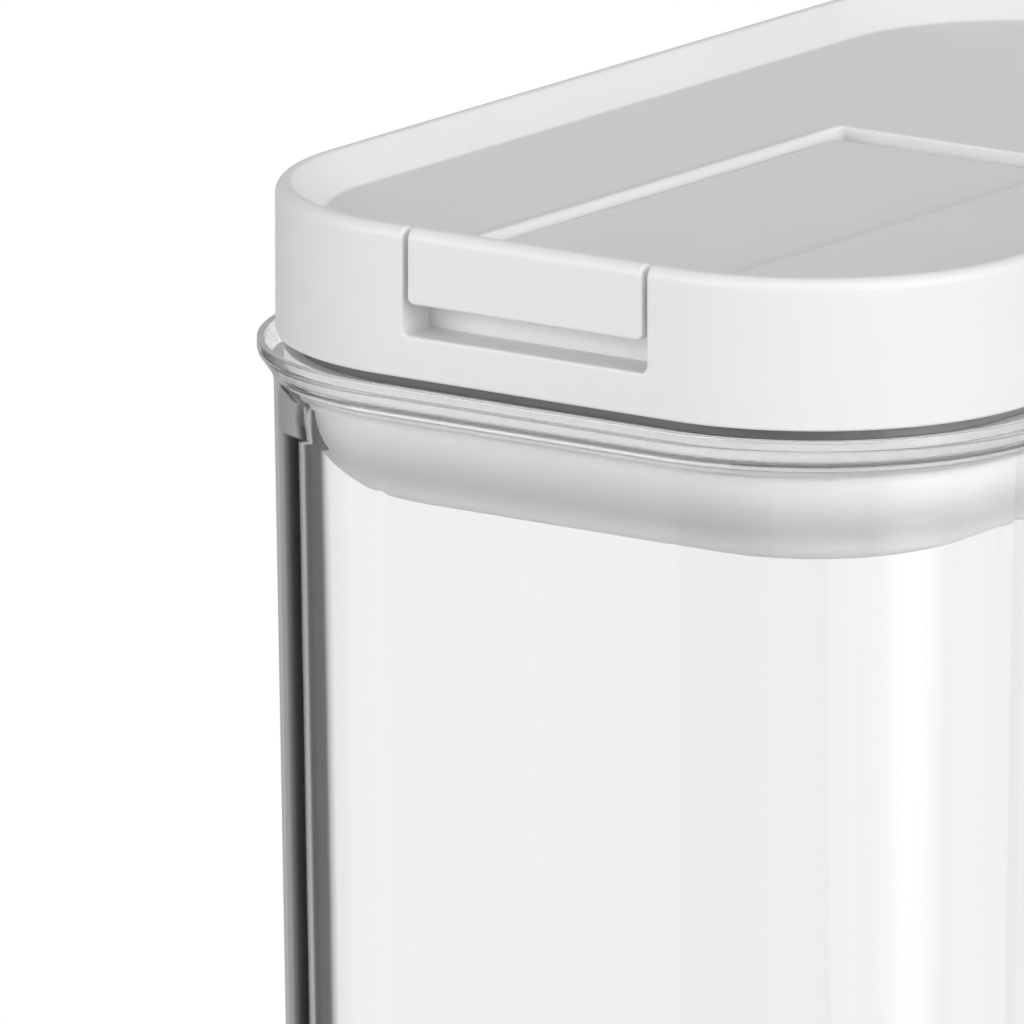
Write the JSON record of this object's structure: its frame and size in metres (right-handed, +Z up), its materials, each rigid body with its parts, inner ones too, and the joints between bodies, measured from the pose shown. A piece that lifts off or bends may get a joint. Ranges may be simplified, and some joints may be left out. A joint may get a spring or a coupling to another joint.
{
  "type": "food storage jar",
  "caption": "Clear rounded-rectangular food storage jar with a white lift-off lid, a sealing plug ring and a flip-up pour flap.",
  "frame": {"origin": "centre of the footprint, on the underside of the foot ring", "axes": "+Z up, -Y the narrow front with the flap's tab, +X to the right of someone facing the tab"},
  "size_m": [0.0834, 0.1316, 0.18],
  "materials": {
    "clear_plastic": "clear polished moulding",
    "white_plastic": "satin white moulding",
    "frosted_plastic": "milky translucent moulding",
    "silicone": "soft translucent white",
    "pin_steel": "drawn wire"
  },
  "bodies": {
    "jar": {"jar_body": "clear_plastic"},
    "lid": {"lid_cover": "white_plastic", "lid_liner": "frosted_plastic", "lid_seal": "silicone", "hinge_pin_left": "pin_steel", "hinge_pin_right": "pin_steel"},
    "flap": {"pour_flap": "white_plastic", "flap_seal": "silicone"}
  },
  "joints": [
    {"name": "lid_lift", "type": "slide", "parent": "jar", "child": "lid", "axis": [0, 0, 1], "range_m": [0, 0.06]},
    {"name": "flap_hinge", "type": "hinge", "parent": "lid", "child": "flap", "pos_m": [0, 0.0049, 0.1745], "axis": [-1, 0, 0], "range_deg": [0, 100]}
  ]
}
